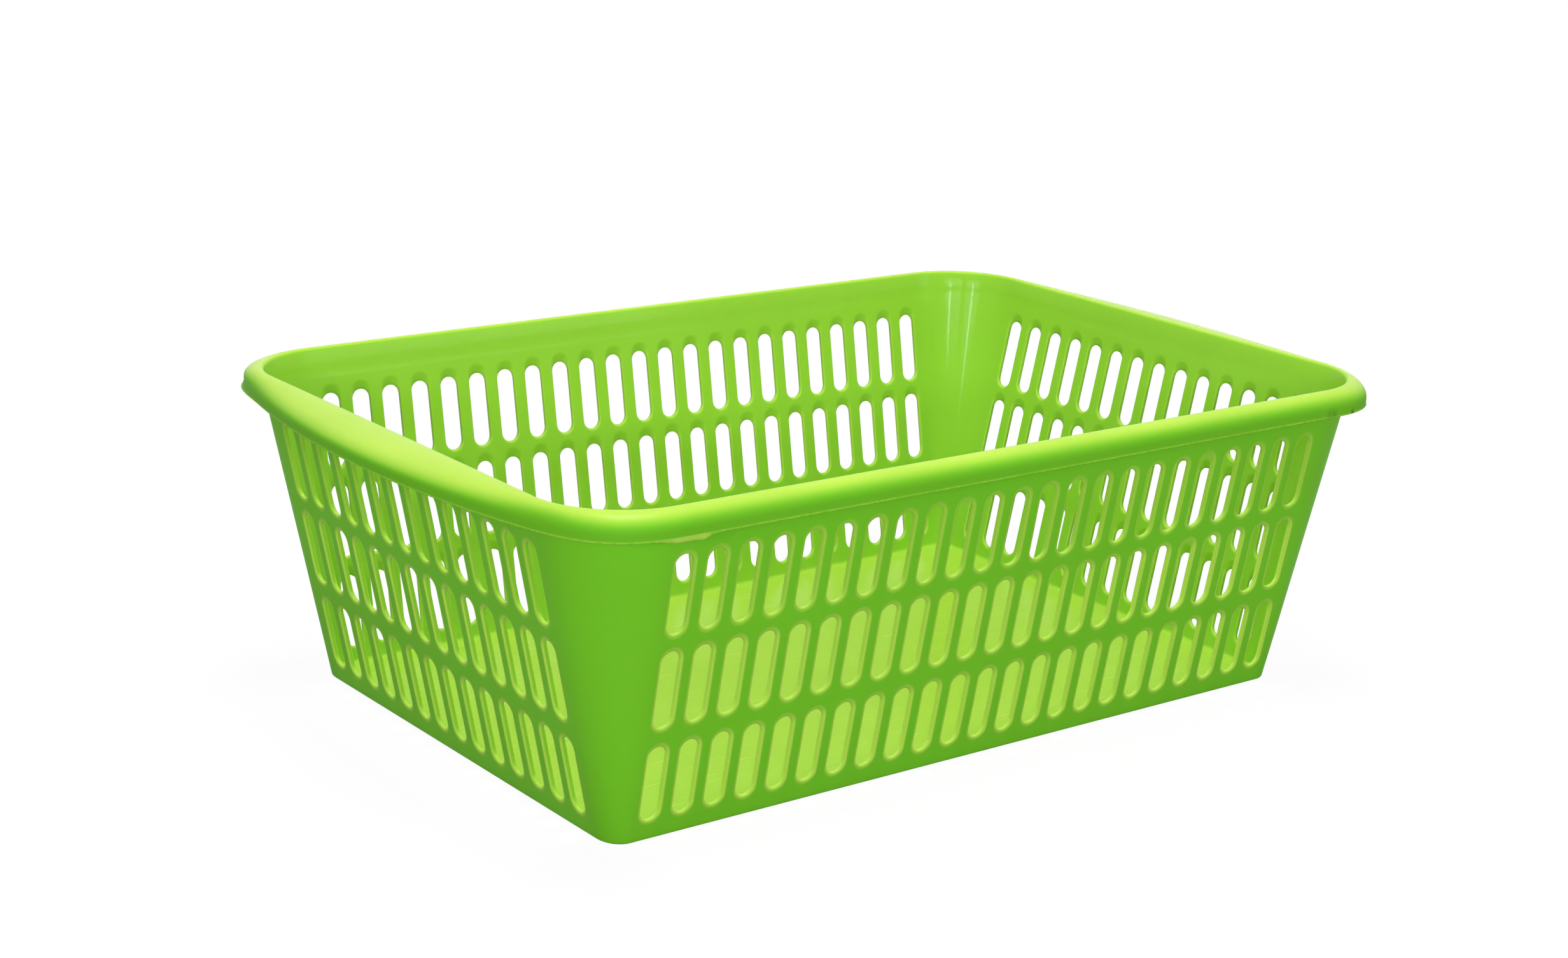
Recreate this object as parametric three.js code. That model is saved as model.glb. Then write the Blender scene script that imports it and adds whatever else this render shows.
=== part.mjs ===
// A slotted storage basket moulded in one shot of plastic, in millimetres.
// The origin is at the middle of the underside, +X runs along the long side, +Y to the back and +Z up.
// The moulding is laid out as its floor, four slotted walls, four solid corners and a hollow rolled rim.
// Neighbours meet on level or upright planes, where the plastic of the real basket runs on unbroken.

import * as THREE from "three";
import { mergeVertices } from "three/addons/utils/BufferGeometryUtils.js";

// Overall sizes, to the outer faces of the walls
const baseLength = 316;
const baseWidth = 202.6;
const topLength = 369.2;
const topWidth = 248.8;
const height = 123.9;

// Shell
const wallThickness = 2;
const floorThickness = 2.1;
const footEdgeRadius = 0.9;
const footCove = 1.2;

// Solid corners: how far each reaches from the straight walls, measured at the underside
const cornerReachLong = 7.8;
const cornerReachShort = 9.3;

// Slots: columns at a set pitch, as many as fit between the corners, in rows with solid bands between
const pitchLong = 13.1;
const pitchShort = 12.93;
const slotWidth = 7.9;
const slotFlare = 0.35;
const endBar = 2;
const bottomBand = 7.3;
const rowBands = [6.2, 5.3];
const topBand = 8.2;
const rowShares = [0.327, 0.333, 0.34];

// Rim: a strip that rolls outward over the wall and hangs down as a skirt, bowed out on the short sides
const rimDepth = 9.2;
const rimOverhang = 7.4;
const rimThickness = 1.9;
const skirtThickness = 1.6;
const crownInnerRadius = 1.2;
const crownDrop = 6.3;
const gripBow = 9.8;

// Facet counts
const slotEndSteps = 5;
const cornerSteps = 8;
const gripSteps = 8;
const crownSteps = 5;
const edgeSteps = 2;

// How far the rim's corner curve keeps the line of each side, as shares of its own reach
const bendShortShare = 0.7;
const bendLongShare = 0.62;

const plastic = new THREE.MeshStandardMaterial({ color: 0x7ac82a, roughness: 0.32, metalness: 0 });

const endLean = (topLength - baseLength) / 2 / height;
const sideLean = (topWidth - baseWidth) / 2 / height;
const cornerX = baseLength / 2 - cornerReachLong;
const cornerY = baseWidth / 2 - cornerReachShort;
const rimFoot = height - rimDepth;
const coveTop = floorThickness + footCove;
const floorInset = wallThickness + footCove;

// Half the length and width over the walls' outer faces at a height
const halfLengthAt = (z) => baseLength / 2 + endLean * z;
const halfWidthAt = (z) => baseWidth / 2 + sideLean * z;

const skirtX = halfLengthAt(rimFoot) + rimOverhang;
const skirtY = halfWidthAt(rimFoot) + rimOverhang;

const quarter = Math.PI / 2;
const basket = new THREE.Group();

// A closed surface, gathered triangle by triangle
class Skin {
  corners = [];

  triangle(a, b, c) {
    this.corners.push(...a, ...b, ...c);
  }

  quad(a, b, c, d) {
    this.triangle(a, b, c);
    this.triangle(a, c, d);
  }

  // A flat outline with holes, lifted into space by a function of its two coordinates
  sheet(outline, holes, lift, turned) {
    const points = [outline, ...holes].flat();
    for (const [i, j, k] of THREE.ShapeUtils.triangulateShape(outline, holes)) {
      const [a, b, c] = [points[i], points[j], points[k]].map(lift);
      if (turned) this.triangle(a, c, b);
      else this.triangle(a, b, c);
    }
  }

  // A band between two rings of as many points
  band(ringA, ringB) {
    for (let i = 0; i < ringA.length; i += 1) {
      const next = (i + 1) % ringA.length;
      this.quad(ringA[next], ringA[i], ringB[i], ringB[next]);
    }
  }

  // One body with its faces out, whichever way round the triangles were gathered
  mesh(name, group) {
    const corners = this.corners;
    let volume = 0;
    for (let i = 0; i < corners.length; i += 9) {
      const [a, b, c] = [0, 3, 6].map((step) => new THREE.Vector3().fromArray(corners, i + step));
      volume += a.dot(b.cross(c));
    }
    if (volume < 0) {
      for (let i = 0; i < corners.length; i += 9) {
        const second = corners.slice(i + 3, i + 6);
        corners.splice(i + 3, 6, ...corners.slice(i + 6, i + 9), ...second);
      }
    }
    const loose = new THREE.BufferGeometry();
    loose.setAttribute("position", new THREE.Float32BufferAttribute(corners, 3));
    const geometry = mergeVertices(loose);
    geometry.computeVertexNormals();
    const mesh = new THREE.Mesh(geometry, plastic);
    mesh.name = name;
    group.add(mesh);
  }
}

// Sweeps a closed section through stations: place(station, point) gives the corner in space.
// The edges of the section that are listed in openEdges are left for a holed sheet.
function sweep(sections, place, openEdges = []) {
  const skin = new Skin();
  const last = sections.length - 1;
  const count = sections[0].length;
  for (let station = 0; station < last; station += 1) {
    for (let i = 0; i < count; i += 1) {
      if (openEdges.includes(i)) continue;
      const next = (i + 1) % count;
      skin.quad(
        place(station, sections[station][i]),
        place(station + 1, sections[station + 1][i]),
        place(station + 1, sections[station + 1][next]),
        place(station, sections[station][next]),
      );
    }
  }
  for (const end of [0, last]) {
    const flat = sections[end].map((point) => new THREE.Vector2(point.flatX, point.z));
    const indexed = new Map(flat.map((spot, i) => [spot, sections[end][i]]));
    skin.sheet(flat, [], (spot) => place(end, indexed.get(spot)), end === last);
  }
  return skin;
}

// The wall's section, from under its foot up and round: inset is measured from the outer face, at the
// point's own height unless it states another level
function wallSection() {
  const points = [];
  for (let i = 0; i <= edgeSteps; i += 1) {
    const angle = (quarter * i) / edgeSteps;
    points.push({
      inset: footEdgeRadius * (1 - Math.sin(angle)),
      z: footEdgeRadius * (1 - Math.cos(angle)),
    });
  }
  points.push({ inset: 0, z: rimFoot });
  points.push({ inset: wallThickness, z: rimFoot });
  for (let i = 0; i <= edgeSteps; i += 1) {
    const angle = (quarter * i) / edgeSteps;
    points.push({
      inset: wallThickness + footCove * (1 - Math.cos(angle)),
      z: coveTop - footCove * Math.sin(angle),
    });
  }
  points.push({ inset: floorInset, z: 0, level: floorThickness });
  return points.map((point) => ({ level: point.z, ...point, flatX: -point.inset }));
}

// A slot's outline in the plane of the wall, clockwise so that it can be a hole
function slotRing(centre, bottom, top, width) {
  const radius = width / 2;
  const ring = [];
  for (const [z, start] of [[top - radius, Math.PI], [bottom + radius, 0]]) {
    for (let i = 0; i <= slotEndSteps; i += 1) {
      const angle = start - (Math.PI * i) / slotEndSteps;
      ring.push(new THREE.Vector2(centre + radius * Math.cos(angle), z + radius * Math.sin(angle)));
    }
  }
  return ring;
}

// Foot and head of each row of slots, from the lowest row up
function slotRows() {
  const bands = rowBands.reduce((sum, band) => sum + band, 0);
  const room = rimFoot - topBand - bottomBand - bands;
  const rows = [];
  let bottom = bottomBand;
  rowShares.forEach((share, i) => {
    const top = bottom + room * share;
    rows.push([bottom, top]);
    bottom = top + rowBands[i];
  });
  return rows;
}

function slotCentres(halfRun, pitch) {
  const columns = Math.floor((2 * (halfRun - endBar) - slotWidth) / pitch) + 1;
  return Array.from({ length: columns }, (_, i) => (i - (columns - 1) / 2) * pitch);
}

// One flat slotted wall. Its run is level, outAt gives its distance from the basket's middle at a height,
// and turn sets it on its side of the basket.
function slottedWall(name, group, halfRun, outAt, pitch, turn) {
  const section = wallSection();
  const ends = [-halfRun, halfRun];
  const place = (station, { inset, z, level }) => turn(ends[station], outAt(level) - inset, z);
  const outerEdge = edgeSteps;
  const innerEdge = outerEdge + 2;
  const skin = sweep([section, section], place, [outerEdge, innerEdge]);
  const faces = [
    { inset: 0, low: footEdgeRadius, flare: slotFlare },
    { inset: wallThickness, low: coveTop, flare: 0 },
  ];
  const rings = faces.map(({ inset, low, flare }, side) => {
    const outline = [
      new THREE.Vector2(-halfRun, low),
      new THREE.Vector2(halfRun, low),
      new THREE.Vector2(halfRun, rimFoot),
      new THREE.Vector2(-halfRun, rimFoot),
    ];
    const width = slotWidth + 2 * flare;
    const holes = slotCentres(halfRun, pitch).flatMap((centre) =>
      slotRows().map(([bottom, top]) => slotRing(centre, bottom - flare, top + flare, width)),
    );
    const lift = ({ x, y }) => turn(x, outAt(y) - inset, y);
    skin.sheet(outline, holes, lift, side === 1);
    return holes.map((hole) => hole.map(lift));
  });
  rings[0].forEach((outer, i) => skin.band(outer, rings[1][i]));
  skin.mesh(name, group);
}

// A point of the corner's curve: the walls' faces sweep a quarter turn about the corner's upright axis
function cornerPoint(angle, inset, z) {
  return new THREE.Vector2(
    cornerX + (halfLengthAt(z) - inset - cornerX) * Math.cos(angle),
    cornerY + (halfWidthAt(z) - inset - cornerY) * Math.sin(angle),
  );
}

function solidCorner(name, group, signX, signY) {
  const section = wallSection();
  const sections = Array.from({ length: cornerSteps + 1 }, () => section);
  const place = (station, { inset, z, level }) => {
    const spot = cornerPoint((quarter * station) / cornerSteps, inset, level);
    return [signX * spot.x, signY * spot.y, z];
  };
  sweep(sections, place).mesh(name, group);
}

// The floor is one flat plate, as far out as the feet of the coves
function floorPlate(name, group) {
  const outline = [];
  for (let side = 0; side < 4; side += 1) {
    const signX = side === 0 || side === 3 ? 1 : -1;
    const signY = side < 2 ? 1 : -1;
    for (let i = 0; i <= cornerSteps; i += 1) {
      const share = side % 2 === 0 ? i / cornerSteps : 1 - i / cornerSteps;
      const spot = cornerPoint(quarter * share, floorInset, floorThickness);
      outline.push(new THREE.Vector2(signX * spot.x, signY * spot.y));
    }
  }
  const skin = new Skin();
  const [lower, upper] = [0, floorThickness].map((z) => {
    const lift = ({ x, y }) => [x, y, z];
    skin.sheet(outline, [], lift, z === 0);
    return outline.map(lift);
  });
  skin.band(upper, lower);
  skin.mesh(name, group);
}

// The rim's section over a given width, from the skirt's outer foot up and round. Each point lies a share
// of the way from the wall's ring to the skirt's.
function rimSection(width) {
  const points = [{ share: 1, z: rimFoot }];
  const domeShare = 1 - crownInnerRadius / width;
  for (let i = 0; i <= crownSteps; i += 1) {
    const angle = (quarter * i) / crownSteps;
    points.push({
      share: 1 - domeShare * (1 - Math.cos(angle)),
      inset: wallThickness,
      z: height - crownDrop * (1 - Math.sin(angle)),
    });
  }
  for (let i = 1; i <= edgeSteps; i += 1) {
    const angle = (quarter * i) / edgeSteps;
    points.push({
      share: (crownInnerRadius * (1 - Math.sin(angle))) / width,
      inset: wallThickness,
      z: height - crownInnerRadius * (1 - Math.cos(angle)),
    });
  }
  points.push({ share: 0, inset: wallThickness, z: rimFoot });
  points.push({ share: 0, z: rimFoot });
  const hollowDrop = crownDrop - rimThickness;
  for (let i = 0; i <= crownSteps; i += 1) {
    const angle = (quarter * i) / crownSteps;
    points.push({
      share: Math.sin(angle),
      skirtInset: skirtThickness,
      z: height - rimThickness - hollowDrop * (1 - Math.cos(angle)),
    });
  }
  points.push({ share: 1, skirtInset: skirtThickness, z: rimFoot });
  return points;
}

// The skirt's outer line round the corner, tangent to the straight long side and to the bowed short side
function cornerSkirt() {
  const bowSlope = cornerY / (gripRadius() - gripBow);
  const reachShort = bendShortShare * (skirtY - cornerY);
  const reachLong = bendLongShare * (skirtX - cornerX);
  return new THREE.CubicBezierCurve(
    new THREE.Vector2(skirtX, cornerY),
    new THREE.Vector2(skirtX - reachShort * bowSlope, cornerY + reachShort),
    new THREE.Vector2(cornerX + reachLong, skirtY),
    new THREE.Vector2(cornerX, skirtY),
  );
}

// Radius of the arc that a short side's skirt follows between its corners
function gripRadius() {
  return (cornerY ** 2 + gripBow ** 2) / (2 * gripBow);
}

// A rim length: each station has the wall's ring and the skirt's ring as functions of inset, in plan
function rimLength(name, group, stations, signX, signY) {
  const sections = stations.map(({ wall, skirt }) => {
    const width = wall(wallThickness, height).distanceTo(skirt(0));
    return rimSection(width).map((point) => {
      const { share, inset = 0, skirtInset = 0 } = point;
      return { ...point, flatX: share * (width - skirtInset) + (1 - share) * (wallThickness - inset) };
    });
  });
  const place = (station, { share, inset = 0, skirtInset = 0, z }) => {
    const { wall, skirt } = stations[station];
    const spot = wall(inset, z).lerp(skirt(skirtInset), share);
    return [signX * spot.x, signY * spot.y, z];
  };
  sweep(sections, place).mesh(name, group);
}

function rimSide(name, group, signY) {
  const stations = [-cornerX, cornerX].map((x) => ({
    wall: (inset, z) => new THREE.Vector2(x, halfWidthAt(z) - inset),
    skirt: (inset) => new THREE.Vector2(x, skirtY - inset),
  }));
  rimLength(name, group, stations, 1, signY);
}

function rimGrip(name, group, signX) {
  const radius = gripRadius();
  const stations = [];
  for (let i = 0; i <= gripSteps; i += 1) {
    const y = cornerY * ((2 * i) / gripSteps - 1);
    const bow = Math.sqrt(radius ** 2 - y ** 2) - (radius - gripBow);
    stations.push({
      wall: (inset, z) => new THREE.Vector2(halfLengthAt(z) - inset, y),
      skirt: (inset) => new THREE.Vector2(skirtX + bow - inset, y),
    });
  }
  rimLength(name, group, stations, signX, 1);
}

function rimCorner(name, group, signX, signY) {
  const line = cornerSkirt();
  const stations = [];
  for (let i = 0; i <= cornerSteps; i += 1) {
    const share = i / cornerSteps;
    const angle = quarter * share;
    const outer = line.getPoint(share);
    const inward = new THREE.Vector2(Math.cos(angle), Math.sin(angle));
    stations.push({
      wall: (inset, z) => cornerPoint(angle, inset, z),
      skirt: (inset) => outer.clone().addScaledVector(inward, -inset),
    });
  }
  rimLength(name, group, stations, signX, signY);
}

const corners = [
  ["front_left", -1, -1],
  ["front_right", 1, -1],
  ["back_right", 1, 1],
  ["back_left", -1, 1],
];

const shell = new THREE.Group();
floorPlate("floor", shell);
slottedWall("front_wall", shell, cornerX, halfWidthAt, pitchLong, (along, out, z) => [along, -out, z]);
slottedWall("back_wall", shell, cornerX, halfWidthAt, pitchLong, (along, out, z) => [-along, out, z]);
slottedWall("left_wall", shell, cornerY, halfLengthAt, pitchShort, (along, out, z) => [-out, -along, z]);
slottedWall("right_wall", shell, cornerY, halfLengthAt, pitchShort, (along, out, z) => [out, along, z]);
for (const [side, signX, signY] of corners) solidCorner(`${side}_corner`, shell, signX, signY);

const rim = new THREE.Group();
rimSide("front_rim", rim, -1);
rimSide("back_rim", rim, 1);
rimGrip("left_grip_rim", rim, -1);
rimGrip("right_grip_rim", rim, 1);
for (const [side, signX, signY] of corners) rimCorner(`${side}_rim_bend`, rim, signX, signY);

basket.add(shell, rim);

export default basket;
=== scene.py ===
# A slotted, apple-green plastic basket on a pale floor, in soft studio light.
import math

import bmesh
import bpy
from mathutils import Matrix, Vector, noise


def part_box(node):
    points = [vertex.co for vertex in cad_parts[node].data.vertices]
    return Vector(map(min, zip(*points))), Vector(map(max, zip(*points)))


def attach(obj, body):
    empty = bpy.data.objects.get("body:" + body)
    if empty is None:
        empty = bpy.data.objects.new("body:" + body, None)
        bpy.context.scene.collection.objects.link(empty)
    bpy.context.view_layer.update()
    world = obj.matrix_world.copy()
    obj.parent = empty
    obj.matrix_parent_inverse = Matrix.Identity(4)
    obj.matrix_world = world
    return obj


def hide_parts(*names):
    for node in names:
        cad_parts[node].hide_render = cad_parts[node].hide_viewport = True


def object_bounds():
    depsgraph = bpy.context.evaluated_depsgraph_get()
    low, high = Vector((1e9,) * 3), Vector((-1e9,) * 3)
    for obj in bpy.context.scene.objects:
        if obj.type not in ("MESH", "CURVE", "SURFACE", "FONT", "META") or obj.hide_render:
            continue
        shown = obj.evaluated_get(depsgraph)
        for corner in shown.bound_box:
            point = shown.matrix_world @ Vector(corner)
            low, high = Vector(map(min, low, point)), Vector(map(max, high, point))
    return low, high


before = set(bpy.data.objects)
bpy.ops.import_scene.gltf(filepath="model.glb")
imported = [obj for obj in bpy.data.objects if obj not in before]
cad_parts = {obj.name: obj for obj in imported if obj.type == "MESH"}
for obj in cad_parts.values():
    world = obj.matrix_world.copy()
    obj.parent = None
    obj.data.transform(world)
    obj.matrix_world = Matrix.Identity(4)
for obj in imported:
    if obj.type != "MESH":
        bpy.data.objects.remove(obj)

cad_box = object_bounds()

# The moulding is worked out in millimetres and written to its mesh in metres
MM = 0.001


def box_mm(name):
    low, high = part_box(name)
    return low / MM, high / MM


# Shell
WALL = 2.0
FOOT_RADIUS = 0.9
COVE = 1.2
FLOOR_INSET = WALL + COVE

# Sizes that the frame gives
_, floor_high = box_mm("floor")
front_low, front_high = box_mm("front_wall")
left_low, left_high = box_mm("left_wall")
rim_low, rim_high = box_mm("front_rim")
bend_low, _ = box_mm("front_left_rim_bend")
grip_low, _ = box_mm("left_grip_rim")

FLOOR = floor_high.z
HEIGHT = rim_high.z
RIM_FOOT = rim_low.z
CORNER_X = front_high.x
CORNER_Y = left_high.y
SKIRT_X = -bend_low.x
SKIRT_Y = -rim_low.y
GRIP_BOW = bend_low.x - grip_low.x
GRIP_RADIUS = (CORNER_Y ** 2 + GRIP_BOW ** 2) / (2 * GRIP_BOW)
COVE_TOP = FLOOR + COVE

# Slots: columns on the long and the short sides, and the open part of each row from its foot to its head
SLOT_COLUMNS = {"long": 23, "short": 14}
SLOT_PITCH = {"long": 13.1, "short": 12.93}
SLOT_ROWS = [(7.8, 35.5), (42.7, 70.9), (77.2, 106.0)]
SLOT_HALF_WIDTH = 3.88

# The slots' rounded edges: how far each reaches over the wall's face, and how deep it goes
OUTER_SIDE_REACH = 0.53
OUTER_END_REACH = 1.35
OUTER_DEPTH = 0.8
INNER_SIDE_REACH = 0.45
INNER_SIDE_DEPTH = 0.5
INNER_FOOT_REACH = 0.9
INNER_FOOT_DEPTH = 0.7
SCOOP_REACH = 3.8
SCOOP_DEPTH = 0.85

# How far the painted pale outline of a slot's outer edge fades out over the wall's face
OUTLINE_REACH = 0.7

# A narrow flat strip beyond each rounded edge keeps the edge's shading off the face
FLAT_MARGIN = 0.3

# Painted light over those edges at a slot's sides, foot and head, step by step from the outer face through
# the wall to the inner one, where the plastic is thin. Up to 1 it turns to a paler, painted lit colour, and
# from 1 to 2 that colour turns to a painted glow
OUTER_EDGE_LIGHT_SHARES = [(1.7, 0.8, 0.8), (2, 1.3, 1), (1.5, 1.2, 1)]
THROUGH_EDGE_LIGHT_SHARES = {"long": (2, 1, 1.2), "short": (0, 0.4, 0.5)}
INNER_EDGE_LIGHT_SHARES = [(1.6, 0.9, 0.6), (1.2, 0.6, 0.1), (0.4, 0.2, 0)]

# How dark the painted shade in the scooped head is at each of the inner steps
SCOOP_SHADE_STEP_SHARES = [0.6, 1, 0.85, 0.3]

# How far the outer edges' colour has turned to the painted lit inner colour at each step through the wall
OUTER_TURN_SHARES = [0, 0.2, 0.7, 1]

# How much painted light and glow each row's slots show: the top row is farthest from the bright floor
ROW_LIT_EDGE_SHARES = [1, 1, 0.8]
ROW_GLOW_SHARES = [1, 0.95, 0.35]

# Rim
CROWN_DROP = 6.3
CROWN_INNER_RADIUS = 1.2
RIM_THICKNESS = 1.9
SKIRT_THICKNESS = 1.6
BEND_SHORT_SHARE = 0.7
BEND_LONG_SHARE = 0.62

# The skirt hangs this far inside the CAD's, so that its flash and its waviness have room
SKIRT_MARGIN = 0.3

# Where the wall turns into the roof of the hollow: how far across the rim, and how far under the roof
ROOF_TURN = [(0.03, 0.45), (0.11, 0.12)]

# The skirt's inner side: how far in from its outer side, and how high over its foot
SKIRT_INNER_SIDE = [
    (SKIRT_THICKNESS, 1.2),
    (SKIRT_THICKNESS, 0.4),
    (SKIRT_THICKNESS - 0.15, 0.08),
    (SKIRT_THICKNESS - 0.5, 0),
]

# Heights over its foot at which the skirt's outer side is divided, above the flash
SKIRT_OUTER_SIDE = [0.9, 1.6]

# The width of the flash at the skirt's foot, and its steps from the inside out: how far in each lies, how
# much of the width it stands out by, how high over the foot it is, how much of a tear's drop it hangs by, and
# how pale its painted light makes it
FLASH = 0.2
FLASH_STEPS = [
    (0.35, 0, 0, 1, 0.5),
    (0.05, 0.3, 0.1, 1, 1),
    (0, 1, 0.35, 0.6, 1),
    (0, 0.5, 0.6, 0, 0.75),
]

# How pale the flash's painted light is where it isn't torn
FLASH_LIGHT_SHARE = 0.8

# Its width varies by this share of itself, in a short and in a long ripple
FLASH_RIPPLE_SHARE = 0.5
SHORT_RIPPLE = 5
LONG_RIPPLE = 25

# Where the flash is torn and hangs down, near the front left bend: its middle, how far it reaches along the
# rim, how far it hangs, how steeply it ends, and how the drop varies
TEAR_PLACE = Vector((-149, -129.5, 0))
TEAR_REACH = 12
TEAR_DROP = 1.8
TEAR_STEEPNESS = 1.6
TEAR_MEAN_SHARE = 0.75
TEAR_RIPPLE_SHARE = 0.5
TEAR_RIPPLE = 3

# At the back left bend the roll stands out a little, and is pinched in above a lip at its foot
LIP_ANGLE = math.radians(146)
LIP_REACH = math.radians(40)
LIP_RUN = 30.0
ROLL_PUSH = 1.5
LIP_FLARE = 0.5
LIP_PINCH = 0.7
PINCH_HEIGHT = 2.9

# The shallow line that the moulding sinks in inside, level with the skirt's foot
SINK = 0.1
SINK_RUN = 1.8

# The moulding's waviness: how far it goes, over what run, the height from which it is full, and its seed,
# without which noise_vector follows the clock
WAVINESS = 0.25
WAVE_RUN = 140
WAVE_RISE = 20
WAVE_SEED = 7

# Marks on the surface for the material: inside the basket, or -1 on the flash where it isn't torn; how much
# painted light and glow the thin plastic gets; and the painted shade in a scoop, or -1 for the painted shade
# on the skirt, which has no light behind it
OUTSIDE = (0, 0, 0)
INSIDE = (1, 0, 0)
SHADED_SKIRT = (0, 0, -1)

# Steps of the mesh
END_STEPS_UP = 3
END_STEPS_ACROSS = 4
END_STEPS = 2 * END_STEPS_UP + END_STEPS_ACROSS
SIDE_STEPS = 2
CORNER_STEPS = 20
CROWN_STEPS = 10
HOLLOW_STEPS = 6
WALL_TOP_STEPS = 3
ROUND_STEPS = 4

# Points of the mesh that lie nearer than this, in metres, are one
WELD = 1e-6

# Colours of the plastic, outside and inside, upright and where it faces up. They are lit and shaded copies
# of one green: painted light makes the faces that face up lighter and yellower and the inside lighter and
# yellower than the outside, and painted shade keeps the floor inside darker than the rim's crown
OUTER_GREEN = (0.225, 0.72, 0.027, 1)
OUTER_LIT_TOP_GREEN = (0.57, 0.87, 0.10, 1)
INNER_GREEN = (0.365, 0.73, 0.053, 1)
INNER_LIT_TOP_GREEN = (0.44, 0.73, 0.062, 1)

# Where the surface starts and ends turning to the painted lit colour of faces that face up: 1 is level
FACING_UP = (0.3, 1.0)

# Colours that it turns to in places, and by how much at most
# Painted light on thin edges and the flash: a paler lit green, and a painted glow beyond it
LIT_EDGE_GREEN = (0.46, 0.78, 0.09, 1)
GLOWING_GREEN = (0.66, 1.0, 0.14, 1)
LIT_EDGE_SHARE = 0.9
# Painted shade in the scooped heads over the inner slots
SCOOP_SHADE_GREEN = (0.20, 0.46, 0.01, 1)
SCOOP_SHADE_SHARE = 0.2
# Painted shade on the skirt, which has no light behind it
SKIRT_SHADE_GREEN = (0.10, 0.36, 0.01, 1)
SKIRT_SHADE_SHARE = 0.25
CLOUD_GREEN = (0.26, 0.56, 0.03, 1)
CLOUD_SHARE = 0.16
SCRATCH_GREEN = (0.62, 0.90, 0.20, 1)
SCRATCH_SHARE = 0.5
SCUFF_GREEN = (0.05, 0.11, 0.01, 1)

# Noises per metre, and their detail
CLOUD_NOISE = (22.0, 3.0)
GRAIN_NOISE = (160.0, 1.0)
GRIT_NOISE = (650.0, 2.0)
SCRATCH_NOISE = (1.0, 0.0)
SCRATCH_STRETCH = (45.0, 1100.0, 45.0)

# The part of each noise's range over which it changes the colour or the roughness
CLOUD_RANGE = (0.35, 0.7)
CLOUD_GLOSS_RANGE = (0.3, 0.7)
SCRATCH_RANGE = (0.72, 0.80)
FLASH_GRIT_RANGE = (0.4, 0.6)
SCUFF_GRIT_RANGE = (0.35, 0.6)

# How much the grit takes from the flash's paleness, and how much of a scuff it leaves
FLASH_GRIT_SHARES = (0.9, -0.2)
SCUFF_GRIT_SHARES = (0.3, 1)

# Scuffs on the skirt near the front right bend, in metres: where, how far each reaches and how dark it is
SCUFFS = [((0.160, -0.1293, 0.1154), 0.0018, 1.0), ((0.148, -0.130, 0.1150), 0.005, 0.5)]

# Roughness: the plastic's own, which follows its cloudiness, and what is added on the upright outer walls, on
# the outside where it faces up, and on the floor
OWN_ROUGHNESS = (0.08, 0.12)
WALL_SATIN = 0.45
CROWN_SATIN = 0.13
FLOOR_SATIN = 0.2

# Studio, in metres: the floor's grey fades into white between two distances from the middle
WHITE = (1, 1, 1, 1)
FLOOR_GREY = (0.33, 0.33, 0.33, 1)
FLOOR_HALF_SIZE = 6.0
FLOOR_FADE = (0.35, 1.3)
FLOOR_WHITE_SHARES = (0.8, 1.0)
FLOOR_GLOWS = (1.19, 1.0)

# Light from around, at the height of the floor and overhead
SKY_LIGHTS = (0.06, 0.2)

# Lamps: name, place, the point it aims at, width and height in metres, and power in watts
LAMPS = [
    ("top_softbox", (0, 0, 1.5), (0, 0, 0.05), (0.6, 0.6), 15.5),
    ("front_softbox", (-0.83, -1.85, 0.64), (0, 0, 0.08), (1.1, 0.32), 8.3),
    ("side_softbox", (-1.72, -0.97, 0.62), (0, 0, 0.08), (0.9, 0.27), 5.6),
    ("right_softbox", (0.9, -1.7, 0.6), (0, 0, 0.08), (0.6, 0.5), 3),
    ("front_strip", (-0.62, -1.83, 0.5), (0, 0, 0.08), (0.07, 0.16), 2.4),
    ("side_strip", (-1.69, -0.96, 0.51), (0, 0, 0.08), (0.07, 0.16), 2.2),
]

# The photograph's camera: its place, its azimuth, elevation and roll in degrees, and its lens
CAMERA_PLACE = Vector((-0.6267, -0.7990, 0.3697))
CAMERA_ANGLES = (-37.52, 15.94, 1.96)
CAMERA_LENS = 62.6
SENSOR_WIDTH = 36.0

QUARTER = math.pi / 2


def lean(wall_face, floor_edge):
    """How far a wall leans out for each millimetre up."""
    return (wall_face - (floor_edge + FLOOR_INSET)) / (RIM_FOOT - FLOOR)


END_LEAN = lean(-left_low.x, floor_high.x)
SIDE_LEAN = lean(-front_low.y, floor_high.y)


def half_length(z):
    return -left_low.x + END_LEAN * (z - RIM_FOOT)


def half_width(z):
    return -front_low.y + SIDE_LEAN * (z - RIM_FOOT)


def lip_share(angle, y):
    """How fully the back left bend's lip shows at a place on the outline. Along the left side, whose stations
    all face the same way, it fades with the distance instead."""
    turned = angle % (2 * math.pi)
    if math.isclose(turned, math.pi):
        away = (math.pi - LIP_ANGLE) / LIP_REACH + (CORNER_Y - y) / LIP_RUN
    else:
        away = abs(turned - LIP_ANGLE) / LIP_REACH
    return math.cos(QUARTER * away) ** 2 if away < 1 else 0


class Station:
    """A place on the basket's outline, seen from above: the wall lies out from (x, y) along `out`."""

    def __init__(self, x, y, angle, skirt):
        self.base = Vector((x, y))
        self.out = Vector((math.cos(angle), math.sin(angle)))
        self.skirt = skirt
        self.lip = lip_share(angle, y)

    def wall(self, inset, z):
        """The wall's plan at a height, this far in from its outer face."""
        reach_x = half_length(z) - inset - CORNER_X
        reach_y = half_width(z) - inset - CORNER_Y
        return self.base + Vector((reach_x * self.out.x, reach_y * self.out.y))

    def skirt_at(self, inset):
        return self.skirt - (inset + SKIRT_MARGIN - ROLL_PUSH * self.lip) * self.out

    def spot(self, inset, z):
        plan = self.wall(inset, z)
        return Vector((plan.x, plan.y, z))


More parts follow.
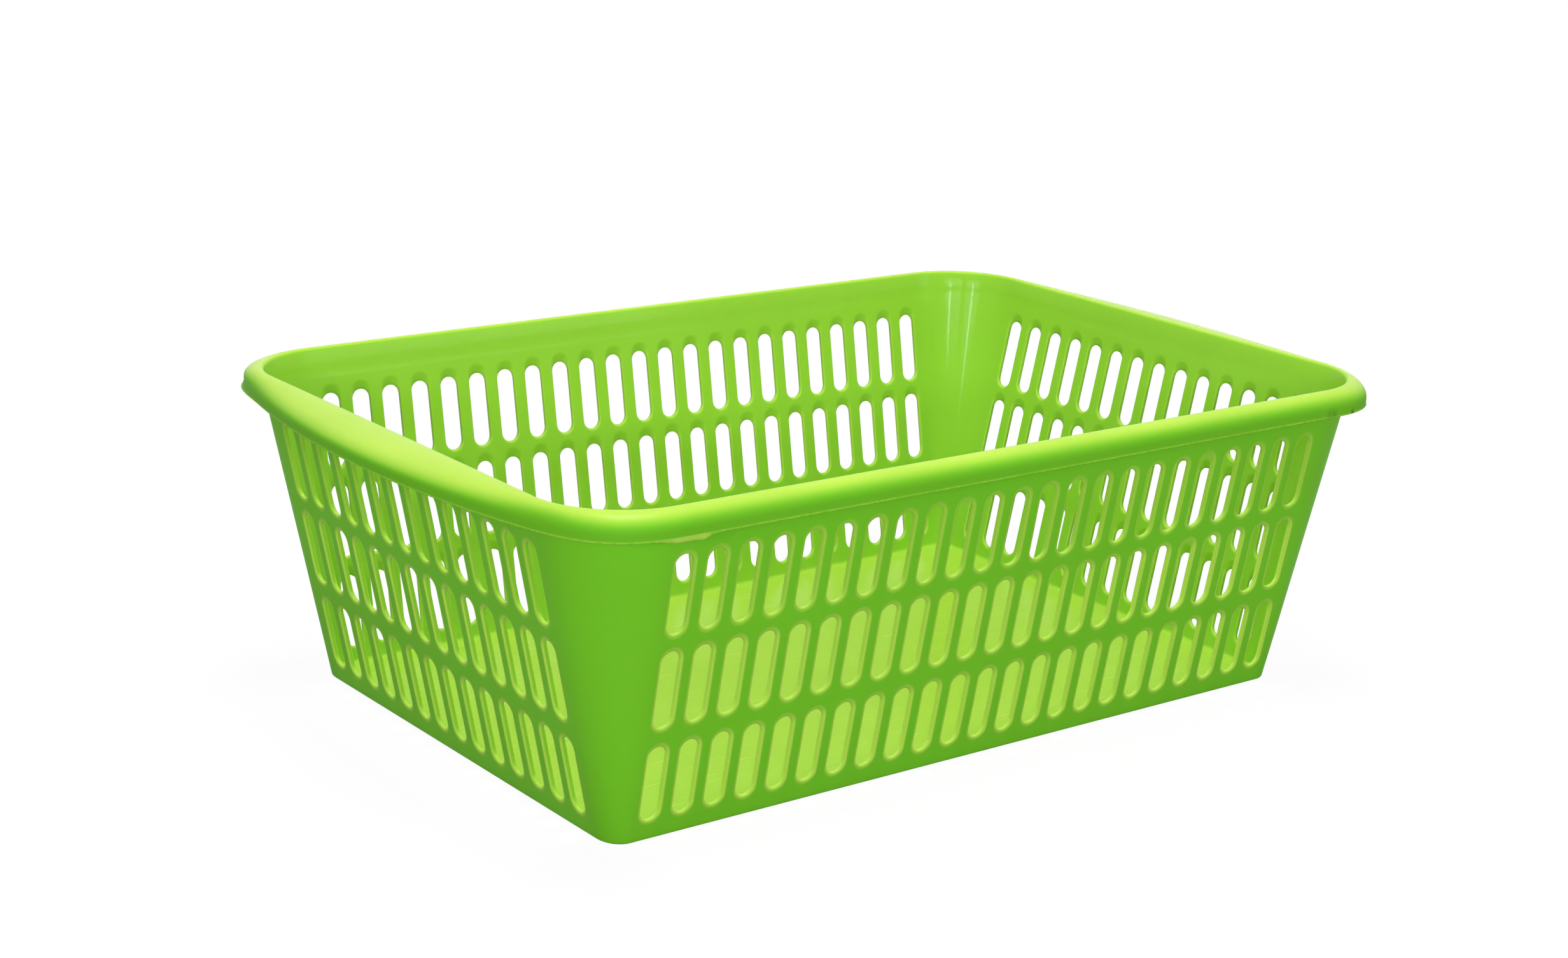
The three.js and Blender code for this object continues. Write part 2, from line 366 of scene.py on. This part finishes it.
def wall_station(side, along):
    """Sides run counter-clockwise from the front: front, right, back, left."""
    angle = QUARTER * (side - 1)
    out = Vector((round(math.cos(angle)), round(math.sin(angle))))
    run = Vector((-out.y, out.x))
    if side % 2 == 0:
        base = out * CORNER_Y + run * along
        skirt = out * SKIRT_Y + run * along
    else:
        base = out * CORNER_X + run * along
        bow = math.sqrt(GRIP_RADIUS ** 2 - along ** 2) - (GRIP_RADIUS - GRIP_BOW)
        skirt = out * (SKIRT_X + bow) + run * along
    return Station(base.x, base.y, angle, skirt)


def bend_point(share):
    """The skirt's line round a corner, from the short side's end to the long side's."""
    slope = CORNER_Y / (GRIP_RADIUS - GRIP_BOW)
    reach_short = BEND_SHORT_SHARE * (SKIRT_Y - CORNER_Y)
    reach_long = BEND_LONG_SHARE * (SKIRT_X - CORNER_X)
    handles = [
        Vector((SKIRT_X, CORNER_Y)),
        Vector((SKIRT_X - reach_short * slope, CORNER_Y + reach_short)),
        Vector((CORNER_X + reach_long, SKIRT_Y)),
        Vector((CORNER_X, SKIRT_Y)),
    ]
    rest = 1 - share
    weights = [rest ** 3, 3 * rest ** 2 * share, 3 * rest * share ** 2, share ** 3]
    return sum((weight * handle for weight, handle in zip(weights, handles)), Vector((0, 0)))


def corner_station(corner, step):
    """The corner that follows a side, from that side's end on."""
    angle = QUARTER * (corner - 1 + step / CORNER_STEPS)
    middle = QUARTER * (corner - 0.5)
    sign = Vector((math.copysign(1, math.cos(middle)), math.copysign(1, math.sin(middle))))
    share = math.atan2(abs(math.sin(angle)), abs(math.cos(angle))) / QUARTER
    bend = bend_point(share)
    skirt = Vector((sign.x * bend.x, sign.y * bend.y))
    return Station(sign.x * CORNER_X, sign.y * CORNER_Y, angle, skirt)


def side_kind(side):
    return "short" if side % 2 else "long"


def columns(side):
    """Each slot column's middle and the edges of the cell round it, along a side."""
    count, pitch = SLOT_COLUMNS[side_kind(side)], SLOT_PITCH[side_kind(side)]
    half_run = CORNER_Y if side % 2 else CORNER_X
    middles = [(i - (count - 1) / 2) * pitch for i in range(count)]
    edges = [-half_run] + [middle + pitch / 2 for middle in middles[:-1]] + [half_run]
    return list(zip(middles, edges, edges[1:]))


def outline():
    """Every station round the basket, counter-clockwise from the front's left end."""
    stations = []
    for side in range(4):
        for _, start, end in columns(side):
            for step in range(END_STEPS_ACROSS):
                stations.append(wall_station(side, start + (end - start) * step / END_STEPS_ACROSS))
        stations += [corner_station(side, step) for step in range(CORNER_STEPS)]
    return stations


def cell_bounds(row, inner):
    """The foot and the head of the cells of one row, on the inner or the outer face."""
    head_reach = SCOOP_REACH if inner else OUTER_END_REACH
    foot_reach = INNER_FOOT_REACH if inner else OUTER_END_REACH

    def gap(below):
        head = SLOT_ROWS[below][1] + head_reach
        foot = SLOT_ROWS[below + 1][0] - foot_reach
        return (head + foot) / 2

    lowest = COVE_TOP if inner else COVE_TOP - 2 * FLAT_MARGIN
    highest = SLOT_ROWS[-1][1] + head_reach + WALL
    return (lowest if row == 0 else gap(row - 1), highest if row == len(SLOT_ROWS) - 1 else gap(row))


def side_levels(row, inner):
    """Heights at which a cell's upright edges are divided."""
    low, high = cell_bounds(row, inner)
    foot, head = SLOT_ROWS[row]
    marks = [low, foot + SLOT_HALF_WIDTH, head - SLOT_HALF_WIDTH, high]
    levels = [low]
    for start, end, steps in zip(marks, marks[1:], (END_STEPS_UP, SIDE_STEPS, END_STEPS_UP)):
        levels += [start + (end - start) * step / steps for step in range(1, steps + 1)]
    return levels


def stadium(radius, foot, head):
    """A slot's outline from its right side's foot, up and round: offset, height, and how far it is to an
    end, 1 at the head and -1 at the foot."""
    low, high = foot + radius, head - radius
    points = [(radius, low + (high - low) * step / SIDE_STEPS, 0) for step in range(SIDE_STEPS)]
    for step in range(END_STEPS):
        angle = math.pi * step / END_STEPS
        points.append((radius * math.cos(angle), high + radius * math.sin(angle), math.sin(angle)))
    points += [(-radius, high + (low - high) * step / SIDE_STEPS, 0) for step in range(SIDE_STEPS)]
    for step in range(END_STEPS):
        angle = math.pi * (1 + step / END_STEPS)
        points.append((radius * math.cos(angle), low + radius * math.sin(angle), math.sin(angle)))
    return points


def cell_edge(start, end, levels):
    """The cell's outline as (along, z), with as many points as a slot's and in the same order."""
    across = [start + (end - start) * step / END_STEPS_ACROSS for step in range(END_STEPS_ACROSS + 1)]
    points = [(end, z) for z in levels[END_STEPS_UP:]]
    points += [(along, levels[-1]) for along in across[-2::-1]]
    points += [(start, z) for z in levels[-2::-1]]
    points += [(along, levels[0]) for along in across[1:]]
    points += [(end, z) for z in levels[1:END_STEPS_UP]]
    return points


class Mould:
    """Gathers the moulding's surface, in millimetres, and the marks on its points."""

    def __init__(self):
        self.points = []
        self.marks = []
        self.faces = []

    def add(self, ring):
        first = len(self.points)
        for place, mark in ring:
            self.points.append(place)
            self.marks.append(mark)
        return list(range(first, len(self.points)))

    def grid(self, rings, closed):
        """Quads between successive rows of points."""
        rows = [self.add(ring) for ring in rings]
        for lower, upper in zip(rows, rows[1:]):
            count = len(lower)
            for i in range(count if closed else count - 1):
                after = (i + 1) % count
                self.faces.append((lower[i], lower[after], upper[after], upper[i]))
        return rows

    def cap(self, ring):
        self.faces.append(tuple(ring))


class Slot:
    """One slot with the cell of wall round it. A trio has a value for its sides, its foot and its head."""

    def __init__(self, side, row, middle, start, end):
        self.side = side
        self.row = row
        self.middle = middle
        self.start = start
        self.end = end

    def cell_ring(self, inner):
        """The cell's edge, on the inner or the outer face."""
        inset, mark = (WALL, INSIDE) if inner else (0, OUTSIDE)
        edge = cell_edge(self.start, self.end, side_levels(self.row, inner))
        return [(wall_station(self.side, along).spot(inset, z), mark) for along, z in edge]

    def ring(self, reaches, insets, edge_lights, inside=0, scooped=0):
        """A ring round the slot. The reaches, the insets and the painted edge lights are trios."""
        foot, head = SLOT_ROWS[self.row]
        points = []
        shape = stadium(SLOT_HALF_WIDTH + reaches[0], foot - reaches[1], head + reaches[2])
        for offset, z, rise in shape:
            end_share = math.sin(abs(rise) * QUARTER) ** 2
            side_end = 2 if rise > 0 else 1
            inset, thin = (trio[0] + (trio[side_end] - trio[0]) * end_share for trio in (insets, edge_lights))
            thin = min(thin, 1) * ROW_LIT_EDGE_SHARES[self.row] + max(thin - 1, 0) * ROW_GLOW_SHARES[self.row]
            mark = (inside, thin, scooped * end_share if rise > 0 else 0)
            points.append((wall_station(self.side, self.middle + offset).spot(inset, z), mark))
        return points

    def outer_rings(self):
        """Over the rounded outer edge, from the flat of the outer face into the wall."""
        reach = OUTER_END_REACH + OUTLINE_REACH
        rings = [self.ring((OUTER_SIDE_REACH + OUTLINE_REACH, reach, reach), (0, 0, 0), (0, 0, 0))]
        steps = OUTER_EDGE_LIGHT_SHARES + [THROUGH_EDGE_LIGHT_SHARES[side_kind(self.side)]]
        for step, (edge_lights, turn) in enumerate(zip(steps, OUTER_TURN_SHARES)):
            angle = QUARTER * step / (len(steps) - 1)
            reach = OUTER_END_REACH * (1 - math.sin(angle))
            inset = OUTER_DEPTH * (1 - math.cos(angle))
            reaches = (OUTER_SIDE_REACH * (1 - math.sin(angle)), reach, reach)
            rings.append(self.ring(reaches, (inset, inset, inset), edge_lights, turn))
        return rings

    def inner_rings(self):
        """Over the rounded inner edge and the scooped head, from within the wall to the inner face's flat."""
        steps = [THROUGH_EDGE_LIGHT_SHARES[side_kind(self.side)]] + INNER_EDGE_LIGHT_SHARES
        rings = []
        for step, (edge_lights, scooped) in enumerate(zip(steps, SCOOP_SHADE_STEP_SHARES)):
            share = step / (len(steps) - 1)
            angle = QUARTER * share
            fall, rise = 1 - math.cos(angle), 1 - math.sin(angle)
            reaches = (INNER_SIDE_REACH * fall, INNER_FOOT_REACH * fall, SCOOP_REACH * share)
            depths = (INNER_SIDE_DEPTH * rise, INNER_FOOT_DEPTH * rise, SCOOP_DEPTH * (1 - share))
            rings.append(self.ring(reaches, [WALL - depth for depth in depths], edge_lights, 1, scooped))
        reaches = (INNER_SIDE_REACH + FLAT_MARGIN, INNER_FOOT_REACH + FLAT_MARGIN, SCOOP_REACH + FLAT_MARGIN)
        return rings + [self.ring(reaches, (WALL, WALL, WALL), (0, 0, 0), 1)]

    def rings(self):
        """From the outer face's cell edge through the slot to the inner face's."""
        return [self.cell_ring(False)] + self.outer_rings() + self.inner_rings() + [self.cell_ring(True)]


def add_slotted_walls(mould):
    for side in range(4):
        for middle, start, end in columns(side):
            for row in range(len(SLOT_ROWS)):
                mould.grid(Slot(side, row, middle, start, end).rings(), True)


def add_corners(mould):
    for inner, inset, mark in ((False, 0, OUTSIDE), (True, WALL, INSIDE)):
        levels = []
        for row in range(len(SLOT_ROWS)):
            levels += side_levels(row, inner)[1 if row else 0:]
        for corner in range(4):
            stations = [corner_station(corner, step) for step in range(CORNER_STEPS + 1)]
            mould.grid([[(station.spot(inset, z), mark) for z in levels] for station in stations], False)


def foot_profile():
    """From the outer cells' foot down, round the foot edge and a little way under: inset and height."""
    top = side_levels(0, False)[0]
    points = [(0, top), (0, (top + FOOT_RADIUS) / 2)]
    for step in range(ROUND_STEPS + 1):
        angle = QUARTER * step / ROUND_STEPS
        points.append((FOOT_RADIUS * (1 - math.cos(angle)), FOOT_RADIUS * (1 - math.sin(angle))))
    points.append((FOOT_RADIUS + FLAT_MARGIN, 0))
    return points


def cove_profile():
    """From the inner cells' foot down the cove to the floor: inset and height."""
    points = []
    for step in range(2 * ROUND_STEPS + 1):
        angle = QUARTER * step / (2 * ROUND_STEPS)
        points.append((WALL + COVE * (1 - math.cos(angle)), COVE_TOP - COVE * math.sin(angle)))
    points.append((FLOOR_INSET + FLAT_MARGIN, FLOOR))
    return points


def add_floor(mould, stations):
    for profile, mark in ((foot_profile(), OUTSIDE), (cove_profile(), INSIDE)):
        rings = [[(station.spot(inset, z), mark) for station in stations] for inset, z in profile]
        mould.cap(mould.grid(rings, True)[-1])


# Each step of the rim's profile says how far across the rim it is, from the wall at 0 to the skirt at 1, how
# far in from the wall's and the skirt's outer faces that is measured, its height and its mark


def hollow_steps():
    """From the outer cells' head up the wall, under the hollow's roof and down the skirt's inner side."""
    top = cell_bounds(len(SLOT_ROWS) - 1, False)[1]
    roof = HEIGHT - RIM_THICKNESS
    hollow_drop = CROWN_DROP - RIM_THICKNESS
    steps = []
    for step in range(WALL_TOP_STEPS + 1):
        z = top + (roof - CROWN_INNER_RADIUS - top) * step / WALL_TOP_STEPS
        steps.append((0, 0, 0, z, OUTSIDE))
    for share, under in ROOF_TURN:
        steps.append((share, 0, SKIRT_THICKNESS, roof - under, OUTSIDE))
    for step in range(1, HOLLOW_STEPS + 1):
        angle = QUARTER * step / HOLLOW_STEPS
        z = roof - hollow_drop * (1 - math.cos(angle))
        steps.append((math.sin(angle), 0, SKIRT_THICKNESS, z, OUTSIDE))
    for inset, over in SKIRT_INNER_SIDE:
        steps.append((1, 0, inset, RIM_FOOT + over, OUTSIDE))
    return steps


def skirt_steps(flash, drop):
    """Round the flash at the skirt's foot and up the skirt's outer side."""
    torn = min(1, drop / TEAR_DROP)
    pale = FLASH_LIGHT_SHARE + torn
    steps = []
    for inset, out_share, over, drop_share, pale_share in FLASH_STEPS:
        z = RIM_FOOT + over - drop_share * drop
        steps.append((1, 0, inset - out_share * flash, z, (torn - 1, pale_share * pale, 0)))
    return steps + [(1, 0, 0, RIM_FOOT + over, SHADED_SKIRT) for over in SKIRT_OUTER_SIDE]


def crown_steps(width):
    """Up over the crown and round its inner edge. The skirt's painted shade fades out halfway up."""
    steps = []
    for step in range(CROWN_STEPS + 1):
        angle = QUARTER * step / CROWN_STEPS
        share = 1 - (1 - CROWN_INNER_RADIUS / width) * (1 - math.cos(angle))
        mark = (0, 0, -max(0, 1 - 2 * step / CROWN_STEPS))
        steps.append((share, WALL, 0, HEIGHT - CROWN_DROP * (1 - math.sin(angle)), mark))
    for step in range(1, ROUND_STEPS + 1):
        angle = QUARTER * step / ROUND_STEPS
        share = CROWN_INNER_RADIUS * (1 - math.sin(angle)) / width
        z = HEIGHT - CROWN_INNER_RADIUS * (1 - math.cos(angle))
        steps.append((share, WALL, 0, z, (step / ROUND_STEPS, 0, 0)))
    return steps


def inner_wall_steps():
    """Down the inner wall, over the shallow line, to the inner cells' head."""
    top = cell_bounds(len(SLOT_ROWS) - 1, True)[1]
    line = [(WALL, RIM_FOOT + SINK_RUN), (WALL - SINK, RIM_FOOT), (WALL, RIM_FOOT - SINK_RUN), (WALL, top)]
    return [(0, inset, 0, z, INSIDE) for inset, z in line]


def flash_at(station):
    """How far the thin line of flash stands out at the skirt's foot."""
    place = station.skirt.to_3d()
    short, long = (FLASH_RIPPLE_SHARE * noise.noise(place / run) for run in (SHORT_RIPPLE, LONG_RIPPLE))
    return FLASH * (1 + short + long)


def drop_at(station):
    """How far the flash hangs down, where it is torn."""
    place = station.skirt.to_3d()
    nearness = max(0, 1 - (place - TEAR_PLACE).length / TEAR_REACH)
    varied = TEAR_MEAN_SHARE + TEAR_RIPPLE_SHARE * noise.noise(place / TEAR_RIPPLE)
    return TEAR_DROP * min(1, TEAR_STEEPNESS * nearness) * varied


def rim_profile(station):
    """From the outer cells' head up into the hollow, round the skirt and the crown and down inside."""
    width = (station.wall(WALL, HEIGHT) - station.skirt_at(0)).length
    steps = hollow_steps() + skirt_steps(flash_at(station), drop_at(station))
    steps += crown_steps(width) + inner_wall_steps()
    points = []
    for share, inset, skirt_inset, z, mark in steps:
        height_share = (z - RIM_FOOT) / PINCH_HEIGHT
        flare = LIP_FLARE * max(0, 1 - height_share) - LIP_PINCH * max(0, 1 - abs(height_share - 1))
        plan = station.wall(inset, z).lerp(station.skirt_at(skirt_inset - flare * station.lip), share)
        points.append((Vector((plan.x, plan.y, z)), mark))
    return points


def add_rim(mould, stations):
    profiles = [rim_profile(station) for station in stations]
    mould.grid([list(ring) for ring in zip(*profiles)], True)


def settle(point):
    """The slight waviness that a thin moulding has, kept inside the CAD's box, in metres."""
    waviness = WAVINESS * min(1, point.z / WAVE_RISE)
    moved = (point + waviness * noise.noise_vector(point / WAVE_RUN).to_2d().to_3d()) * MM
    low, high = cad_box
    return Vector([min(max(value, least), most) for value, least, most in zip(moved, low, high)])


def basket_mesh():
    noise.seed_set(WAVE_SEED)
    mould = Mould()
    stations = outline()
    add_slotted_walls(mould)
    add_corners(mould)
    add_floor(mould, stations)
    add_rim(mould, stations)
    mesh = bpy.data.meshes.new("basket_moulding")
    mesh.from_pydata([settle(point) for point in mould.points], [], mould.faces)
    marks = mesh.attributes.new("marks", "FLOAT_VECTOR", "POINT")
    marks.data.foreach_set("vector", [value for mark in mould.marks for value in mark])
    work = bmesh.new()
    work.from_mesh(mesh)
    bmesh.ops.remove_doubles(work, verts=work.verts, dist=WELD)
    bmesh.ops.recalc_face_normals(work, faces=work.faces)
    for face in work.faces:
        face.smooth = True
    open_edges = sum(not edge.is_manifold for edge in work.edges)
    print("basket_moulding:", len(work.faces), "faces,", open_edges, "open edges")
    work.to_mesh(mesh)
    work.free()
    return mesh


def blank_tree(owner):
    """The emptied node tree of a material or a world."""
    owner.use_nodes = True
    owner.node_tree.nodes.clear()
    return owner.node_tree


def node(tree, kind, inputs=None, **settings):
    made = tree.nodes.new(kind)
    for name, value in settings.items():
        setattr(made, name, value)
    for name, value in (inputs or {}).items():
        socket = made.inputs[name]
        if isinstance(value, bpy.types.NodeSocket):
            tree.links.new(value, socket)
        else:
            socket.default_value = value
    return made


def ramp(tree, value, source, target, **settings):
    """The value, carried from one range to another."""
    ranges = {"From Min": source[0], "From Max": source[1], "To Min": target[0], "To Max": target[1]}
    return node(tree, "ShaderNodeMapRange", {"Value": value, **ranges}, **settings).outputs["Result"]


def maths(tree, operation, first, second):
    return node(tree, "ShaderNodeMath", {0: first, 1: second}, operation=operation).outputs[0]


def blend(tree, share, first, second):
    inputs = {"Factor": share, "A": first, "B": second}
    return node(tree, "ShaderNodeMix", inputs, data_type="RGBA").outputs["Result"]


def noise_at(tree, place, scale, detail):
    inputs = {"Vector": place, "Scale": scale, "Detail": detail}
    return node(tree, "ShaderNodeTexNoise", inputs).outputs["Fac"]


def split(tree, vector):
    return node(tree, "ShaderNodeSeparateXYZ", {"Vector": vector}).outputs


def scratches(tree, place):
    """Sparse, fine, long lines."""
    inputs = {0: place, 1: SCRATCH_STRETCH}
    stretched = node(tree, "ShaderNodeVectorMath", inputs, operation="MULTIPLY").outputs["Vector"]
    return ramp(tree, noise_at(tree, stretched, *SCRATCH_NOISE), SCRATCH_RANGE, (0, SCRATCH_SHARE))


def painted_light_colour(tree, inside, facing_up):
    """The plastic's colour outside and inside, as lit and shaded copies of one green: painted light and
    shade.
    """
    outer = blend(tree, facing_up, OUTER_GREEN, OUTER_LIT_TOP_GREEN)
    inner = blend(tree, facing_up, INNER_GREEN, INNER_LIT_TOP_GREEN)
    return blend(tree, inside, outer, inner)


def with_painted_edge_light(tree, colour, inside, thin, grit):
    """Adds painted light and glow on thin edges; on the flash, inside mark -1, it shows in broken patches."""
    edge = blend(tree, ramp(tree, thin, (1, 2), (0, 1)), LIT_EDGE_GREEN, GLOWING_GREEN)
    on_flash = ramp(tree, inside, (-1, 0), (1, 0))
    ragged = maths(tree, "MULTIPLY", on_flash, ramp(tree, grit, FLASH_GRIT_RANGE, FLASH_GRIT_SHARES))
    shown = maths(tree, "MULTIPLY", thin, maths(tree, "SUBTRACT", 1.0, ragged))
    return blend(tree, ramp(tree, shown, (0, 1), (0, LIT_EDGE_SHARE)), colour, edge)


def with_scuffs(tree, colour, place, grit):
    for centre, reach, strength in SCUFFS:
        away = node(tree, "ShaderNodeVectorMath", {0: place, 1: centre}, operation="DISTANCE")
        near = ramp(tree, away.outputs["Value"], (0, reach), (strength, 0), interpolation_type="SMOOTHSTEP")
        share = maths(tree, "MULTIPLY", near, ramp(tree, grit, SCUFF_GRIT_RANGE, SCUFF_GRIT_SHARES))
        colour = blend(tree, share, colour, SCUFF_GREEN)
    return colour


def plastic_roughness(tree, inside, facing_up, on_floor, cloud):
    """Satin on the upright outer walls and the floor, glossier on the rim and inside."""
    outside = ramp(tree, inside, (0, 1), (1, 0))
    outer_satin = ramp(tree, facing_up, (0, 1), (WALL_SATIN, CROWN_SATIN))
    satin = maths(tree, "MULTIPLY", outside, outer_satin)
    satin = maths(tree, "ADD", satin, ramp(tree, on_floor, (0, 1), (0, FLOOR_SATIN)))
    return maths(tree, "ADD", satin, ramp(tree, cloud, CLOUD_GLOSS_RANGE, OWN_ROUGHNESS))


def green_plastic():
    material = bpy.data.materials.new("green_plastic")
    tree = blank_tree(material)
    coordinates = node(tree, "ShaderNodeTexCoord").outputs
    place = coordinates["Object"]
    cloud = noise_at(tree, place, *CLOUD_NOISE)
    grain = noise_at(tree, place, *GRAIN_NOISE)
    grit = noise_at(tree, place, *GRIT_NOISE)
    marks = split(tree, node(tree, "ShaderNodeAttribute", attribute_name="marks").outputs["Vector"])
    inside, thin, scooped = marks["X"], marks["Y"], marks["Z"]
    up = split(tree, coordinates["Normal"])["Z"]
    facing_up = ramp(tree, up, FACING_UP, (0.0, 1.0), interpolation_type="SMOOTHSTEP")
    on_floor = maths(tree, "MULTIPLY", inside, facing_up)
    worn = maths(tree, "MULTIPLY", scratches(tree, place), on_floor)

    # Painted light and shade: lit and shaded copies of the green, by which way it faces and whether it is
    # inside
    colour = painted_light_colour(tree, inside, facing_up)
    # Painted light and glow along the slots' thin edges and on the flash
    colour = with_painted_edge_light(tree, colour, inside, thin, grit)
    # Painted shade in the scooped heads over the inner slots
    colour = blend(tree, ramp(tree, scooped, (0, 1), (0, SCOOP_SHADE_SHARE)), colour, SCOOP_SHADE_GREEN)
    # Painted shade on the skirt, which has no light behind it
    colour = blend(tree, ramp(tree, scooped, (-1, 0), (SKIRT_SHADE_SHARE, 0)), colour, SKIRT_SHADE_GREEN)
    colour = blend(tree, ramp(tree, cloud, CLOUD_RANGE, (0, CLOUD_SHARE)), colour, CLOUD_GREEN)
    colour = blend(tree, worn, colour, SCRATCH_GREEN)
    colour = with_scuffs(tree, colour, place, grit)

    bump = node(tree, "ShaderNodeBump", {"Height": grain, "Strength": 0.1, "Distance": 0.0002})
    shader = node(
        tree, "ShaderNodeBsdfPrincipled",
        {
            "Base Color": colour,
            "Roughness": plastic_roughness(tree, inside, facing_up, on_floor, cloud),
            "Normal": bump.outputs["Normal"],
            "IOR": 1.49,
            "Specular IOR Level": 0.08,
            "Subsurface Weight": 0.3,
            "Subsurface Radius": (1.0, 1.0, 0.15),
            "Subsurface Scale": 0.003,
        },
    )
    node(tree, "ShaderNodeOutputMaterial", {"Surface": shader.outputs["BSDF"]})
    return material


def white_to_the_eye(tree):
    """1 for camera, mirror and clear rays, which see the studio's white, and 0 for the rays that light."""
    path = node(tree, "ShaderNodeLightPath").outputs
    seen = maths(tree, "MAXIMUM", path["Is Camera Ray"], path["Is Glossy Ray"])
    return maths(tree, "MAXIMUM", seen, path["Is Transmission Ray"])


def pale_floor():
    """Matt grey for light and shadow, under white that covers it more and more away from the basket."""
    material = bpy.data.materials.new("pale_floor")
    tree = blank_tree(material)
    place = node(tree, "ShaderNodeTexCoord").outputs["Object"]
    distance = node(tree, "ShaderNodeVectorMath", {0: place}, operation="LENGTH").outputs["Value"]
    far = ramp(tree, distance, FLOOR_FADE, (0.0, 1.0), interpolation_type="SMOOTHSTEP")
    cover = ramp(tree, far, (0, 1), FLOOR_WHITE_SHARES)
    glow = ramp(tree, far, (0, 1), FLOOR_GLOWS)
    matt = node(tree, "ShaderNodeBsdfDiffuse", {"Color": FLOOR_GREY})
    white = node(tree, "ShaderNodeEmission", {"Color": WHITE, "Strength": glow})
    share = maths(tree, "MULTIPLY", white_to_the_eye(tree), cover)
    mix = node(tree, "ShaderNodeMixShader", {0: share, 1: matt.outputs[0], 2: white.outputs[0]})
    node(tree, "ShaderNodeOutputMaterial", {"Surface": mix.outputs[0]})
    return material


def add_object(name, data):
    made = bpy.data.objects.new(name, data)
    bpy.context.scene.collection.objects.link(made)
    return made


def studio_floor():
    mesh = bpy.data.meshes.new("studio_floor")
    half = FLOOR_HALF_SIZE
    corners = [(-half, -half, 0), (half, -half, 0), (half, half, 0), (-half, half, 0)]
    mesh.from_pydata(corners, [], [(0, 1, 2, 3)])
    mesh.materials.append(pale_floor())
    return add_object("studio_floor", mesh)


def studio_world():
    """Dim light from around, brighter from overhead, where the eye sees white."""
    world = bpy.data.worlds.new("studio")
    bpy.context.scene.world = world
    tree = blank_tree(world)
    height = split(tree, node(tree, "ShaderNodeTexCoord").outputs["Generated"])["Z"]
    sky = ramp(tree, height, (0.0, 1.0), SKY_LIGHTS)
    strength = ramp(tree, white_to_the_eye(tree), (0, 1), (sky, 1.0))
    light = node(tree, "ShaderNodeBackground", {"Color": WHITE, "Strength": strength})
    node(tree, "ShaderNodeOutputWorld", {"Surface": light.outputs[0]})


def soft_lamp(name, place, aim, size, power):
    data = bpy.data.lights.new(name, "AREA")
    data.shape = "RECTANGLE"
    data.size, data.size_y = size
    data.energy = power
    lamp = add_object(name, data)
    lamp.location = place
    lamp.rotation_euler = (Vector(aim) - Vector(place)).to_track_quat("-Z", "Y").to_euler()


def photo_camera():
    """The photograph's angle and perspective."""
    azimuth, elevation, roll = (math.radians(angle) for angle in CAMERA_ANGLES)
    back = Vector((
        math.sin(azimuth) * math.cos(elevation),
        -math.cos(azimuth) * math.cos(elevation),
        math.sin(elevation),
    ))
    level = Vector((0, 0, 1)).cross(back).normalized()
    upright = back.cross(level)
    right = math.cos(roll) * level + math.sin(roll) * upright
    up = math.cos(roll) * upright - math.sin(roll) * level
    data = bpy.data.cameras.new("photo_camera")
    data.sensor_fit = "HORIZONTAL"
    data.sensor_width = SENSOR_WIDTH
    data.lens = CAMERA_LENS
    camera = add_object("photo_camera", data)
    camera.matrix_world = Matrix.Translation(CAMERA_PLACE) @ Matrix((right, up, back)).transposed().to_4x4()
    bpy.context.scene.camera = camera


photo_camera()

mesh = basket_mesh()
mesh.materials.append(green_plastic())
basket = add_object("basket_moulding", mesh)
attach(basket, "root")
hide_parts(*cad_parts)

studio_world()
studio_floor()
for lamp in LAMPS:
    soft_lamp(*lamp)
bpy.context.scene.view_settings.view_transform = "Standard"
